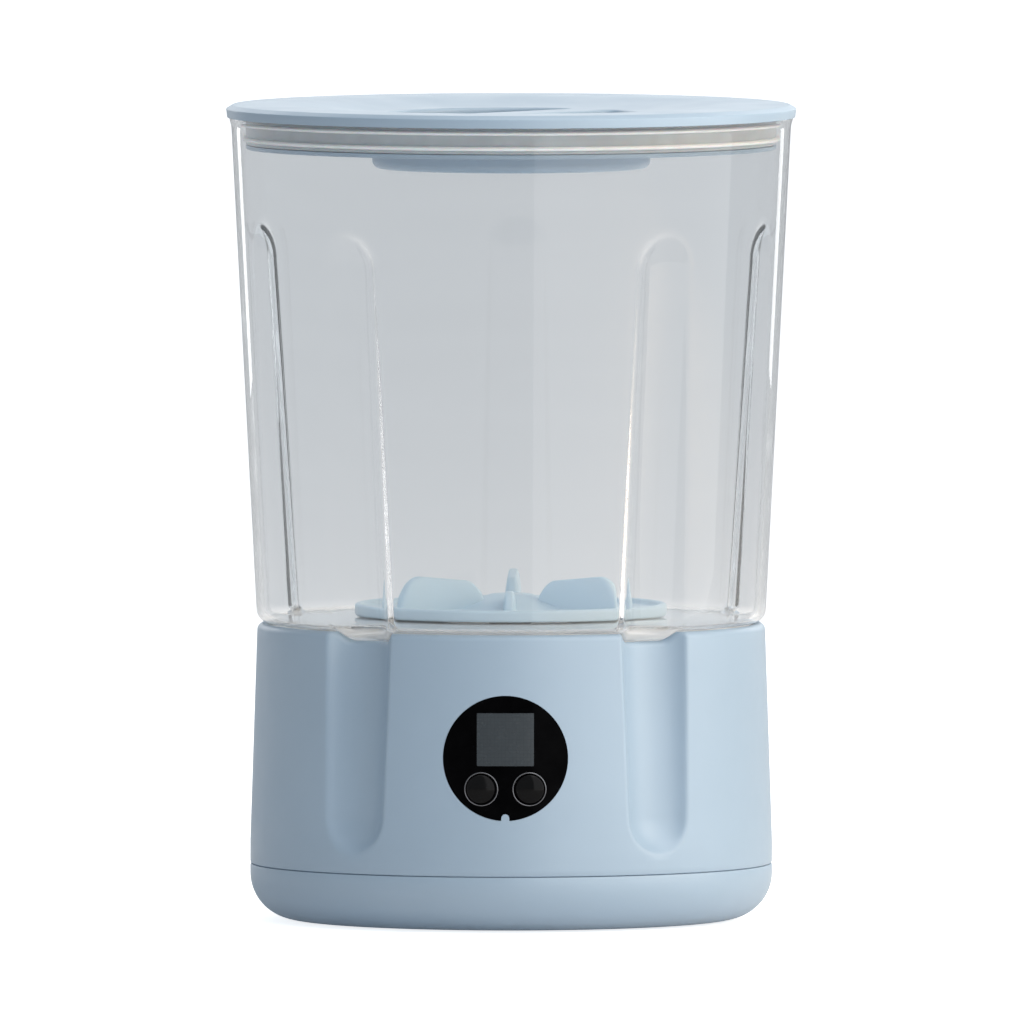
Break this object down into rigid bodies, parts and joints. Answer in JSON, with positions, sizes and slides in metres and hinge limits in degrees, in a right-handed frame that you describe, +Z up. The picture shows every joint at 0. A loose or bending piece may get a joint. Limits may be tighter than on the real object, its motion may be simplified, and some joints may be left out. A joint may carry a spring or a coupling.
{
  "type": "automatic fish feeder",
  "caption": "Round countertop fish feeder: fluted clear hopper with sealed lid and stirrer on a powered base with a display, push buttons and a feed outlet at the back.",
  "frame": {"origin": "centre of the footprint, at the surface the feet stand on", "axes": "+Z up through the hopper and lid; -Y is the front with the display; +Y is the back with the feed outlet"},
  "size_m": [0.1424, 0.1424, 0.204],
  "materials": {
    "body_blue": "satin",
    "seal_silicone": "translucent satin",
    "washer_white": "matte",
    "clear_plastic": "clear gloss",
    "white_plastic": "satin",
    "grey_plastic": "satin",
    "steel": "brushed",
    "dark_plastic": "satin",
    "bronze": "satin",
    "gear_plastic": "satin",
    "motor_can": "satin",
    "plate_aluminium": "satin",
    "foot_rubber": "matte",
    "window_black": "high gloss",
    "screen_glass": "gloss",
    "module_plastic": "matte",
    "ring_metal": "polished",
    "board_green": "satin",
    "cell_wrap": "gloss"
  },
  "bodies": {
    "base": {"gate_plate": "white_plastic", "metering_housing": "grey_plastic", "metering_screws": "steel", "upper_bush": "bronze", "lower_bush": "bronze", "idler_pin": "steel", "gearmotor": "motor_can", "gear_plate": "plate_aluminium", "gear_plate_screws": "steel", "feed_chute": "grey_plastic", "outlet_spout": "body_blue", "base_housing": "body_blue", "base_cover": "body_blue", "cover_screws": "steel", "rubber_feet": "foot_rubber", "display_window": "window_black", "display_screen": "screen_glass", "display_module": "module_plastic", "button_rings": "ring_metal", "control_board": "board_green", "tact_switches": "dark_plastic", "board_screws": "steel", "battery_cell": "cell_wrap", "battery_holder": "dark_plastic", "power_inlet": "ring_metal"},
    "lid": {"lid_top": "body_blue", "lid_plug": "body_blue", "lid_seal": "seal_silicone"},
    "hopper": {"hopper": "clear_plastic", "stirrer_washer": "washer_white"},
    "stirrer": {"feed_stirrer": "body_blue"},
    "drive": {"drive_shaft": "steel", "drive_dog": "dark_plastic", "portion_wheel": "white_plastic", "output_gear": "gear_plastic"},
    "idler": {"idler_gear": "gear_plastic"},
    "pinion": {"motor_pinion": "bronze"},
    "button_left": {"button_left": "window_black"},
    "button_right": {"button_right": "window_black"}
  },
  "joints": [
    {"name": "hopper_lift", "type": "slide", "parent": "base", "child": "hopper", "axis": [0, 0, 1], "range_m": [0, 0.03]},
    {"name": "lid_lift", "type": "slide", "parent": "hopper", "child": "lid", "axis": [0, 0, 1], "range_m": [0, 0.03]},
    {"name": "drive_spin", "type": "hinge", "parent": "base", "child": "drive", "pos_m": [0, 0, 0.055], "axis": [0, 0, 1], "continuous": true},
    {"name": "stirrer_spin", "type": "hinge", "parent": "hopper", "child": "stirrer", "pos_m": [0, 0, 0.076], "axis": [0, 0, 1], "continuous": true},
    {"name": "idler_spin", "type": "hinge", "parent": "base", "child": "idler", "pos_m": [-0.0172, -0.01205, 0.042], "axis": [0, 0, 1], "continuous": true},
    {"name": "pinion_spin", "type": "hinge", "parent": "base", "child": "pinion", "pos_m": [-0.03175, -0.00364, 0.04], "axis": [0, 0, 1], "continuous": true},
    {"name": "button_left_press", "type": "slide", "parent": "base", "child": "button_left", "axis": [0, 1, 0], "range_m": [0, 0.0006], "stiffness_N_per_m": 800},
    {"name": "button_right_press", "type": "slide", "parent": "base", "child": "button_right", "axis": [0, 1, 0], "range_m": [0, 0.0006], "stiffness_N_per_m": 800}
  ],
  "couplings": [
    {"joint": "stirrer_spin", "follows": "drive_spin", "ratio": 1},
    {"joint": "idler_spin", "follows": "drive_spin", "ratio": -2.5},
    {"joint": "pinion_spin", "follows": "drive_spin", "ratio": 8}
  ]
}
